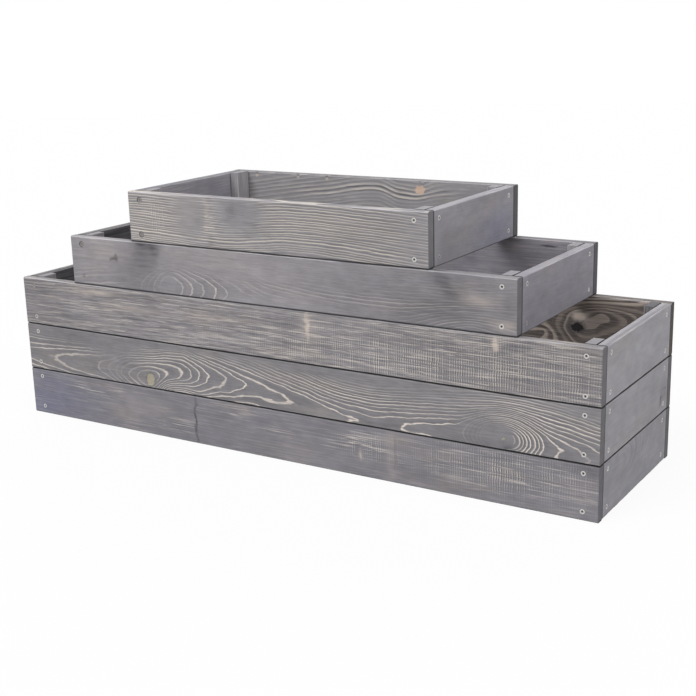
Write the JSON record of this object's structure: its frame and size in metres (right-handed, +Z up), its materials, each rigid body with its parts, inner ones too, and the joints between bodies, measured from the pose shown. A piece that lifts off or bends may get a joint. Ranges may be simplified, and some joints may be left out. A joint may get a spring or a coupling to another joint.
{
  "type": "tiered raised bed",
  "caption": "Stepped raised planting bed: open rectangular frames of grey-stained softwood boards, each shorter than the one it stands on, flush at front and back.",
  "frame": {"origin": "middle of the bottom tier's footprint, on the ground", "axes": "+X along the bed to its right end, +Y from the front to the back, +Z up"},
  "size_m": [1.3, 0.366, 0.5026],
  "materials": {
    "long_board": "sawn spruce with a matt grey stain",
    "end_board": "sawn spruce with a matt grey stain",
    "batten": "rough sawn spruce with a matt grey stain",
    "screw": "zinc plated, satin"
  },
  "bodies": {
    "bottom_tier": {"bottom_front_board_1": "long_board", "bottom_right_board_1": "end_board", "bottom_back_board_1": "long_board", "bottom_left_board_1": "end_board", "bottom_front_board_2": "long_board", "bottom_right_board_2": "end_board", "bottom_back_board_2": "long_board", "bottom_left_board_2": "end_board", "bottom_front_board_3": "long_board", "bottom_right_board_3": "end_board", "bottom_back_board_3": "long_board", "bottom_left_board_3": "end_board", "bottom_batten_front_left": "batten", "bottom_batten_front_right": "batten", "bottom_batten_back_left": "batten", "bottom_batten_back_right": "batten"},
    "middle_tier": {"middle_front_board": "long_board", "middle_right_board": "end_board", "middle_back_board": "long_board", "middle_left_board": "end_board", "middle_batten_front_left": "batten", "middle_batten_front_right": "batten", "middle_batten_back_left": "batten", "middle_batten_back_right": "batten"},
    "top_tier": {"top_front_board": "long_board", "top_right_board": "end_board", "top_back_board": "long_board", "top_left_board": "end_board", "top_batten_front_left": "batten", "top_batten_front_right": "batten", "top_batten_back_left": "batten", "top_batten_back_right": "batten"}
  },
  "joints": [
    {"name": "middle_tier_lift", "type": "slide", "parent": "bottom_tier", "child": "middle_tier", "axis": [0, 0, 1], "range_m": [0, 0.15]},
    {"name": "top_tier_lift", "type": "slide", "parent": "middle_tier", "child": "top_tier", "axis": [0, 0, 1], "range_m": [0, 0.15]}
  ]
}
